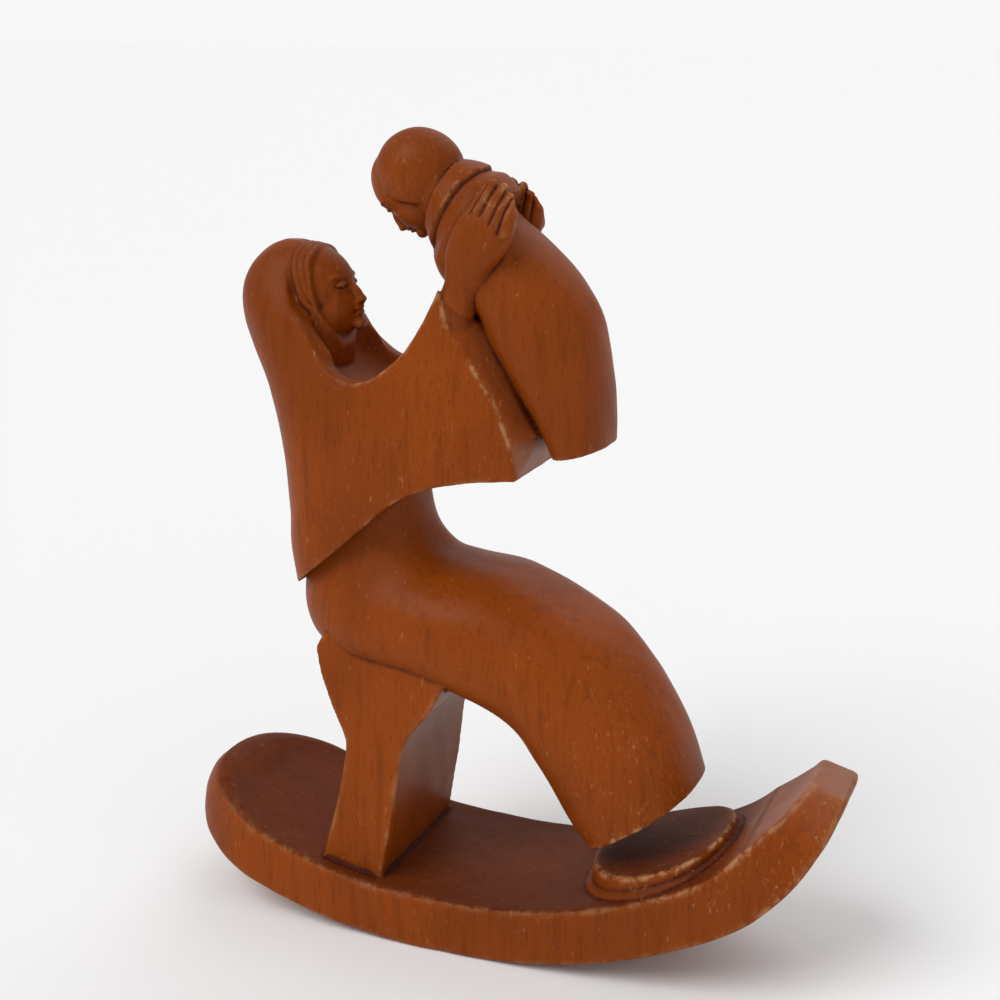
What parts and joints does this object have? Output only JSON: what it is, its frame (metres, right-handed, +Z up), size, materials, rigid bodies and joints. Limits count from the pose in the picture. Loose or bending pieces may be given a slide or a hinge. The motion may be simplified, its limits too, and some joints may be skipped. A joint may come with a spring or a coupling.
{
  "type": "mother and child rocker carving",
  "caption": "Carved wooden figure of a seated mother lifting a child over her lap, on a stool that stands on a curved rocker base.",
  "frame": {"origin": "middle of the short flat on the underside, where the rocker rests on a table", "axes": "+Z up, +X the way the mother faces, from the round rear end of the base to its raised tip, +Y across to her left side"},
  "size_m": [0.197, 0.06, 0.228],
  "materials": {
    "stained_wood": "satin"
  },
  "bodies": {
    "root": {"mother_and_child": "stained_wood"}
  },
  "joints": []
}
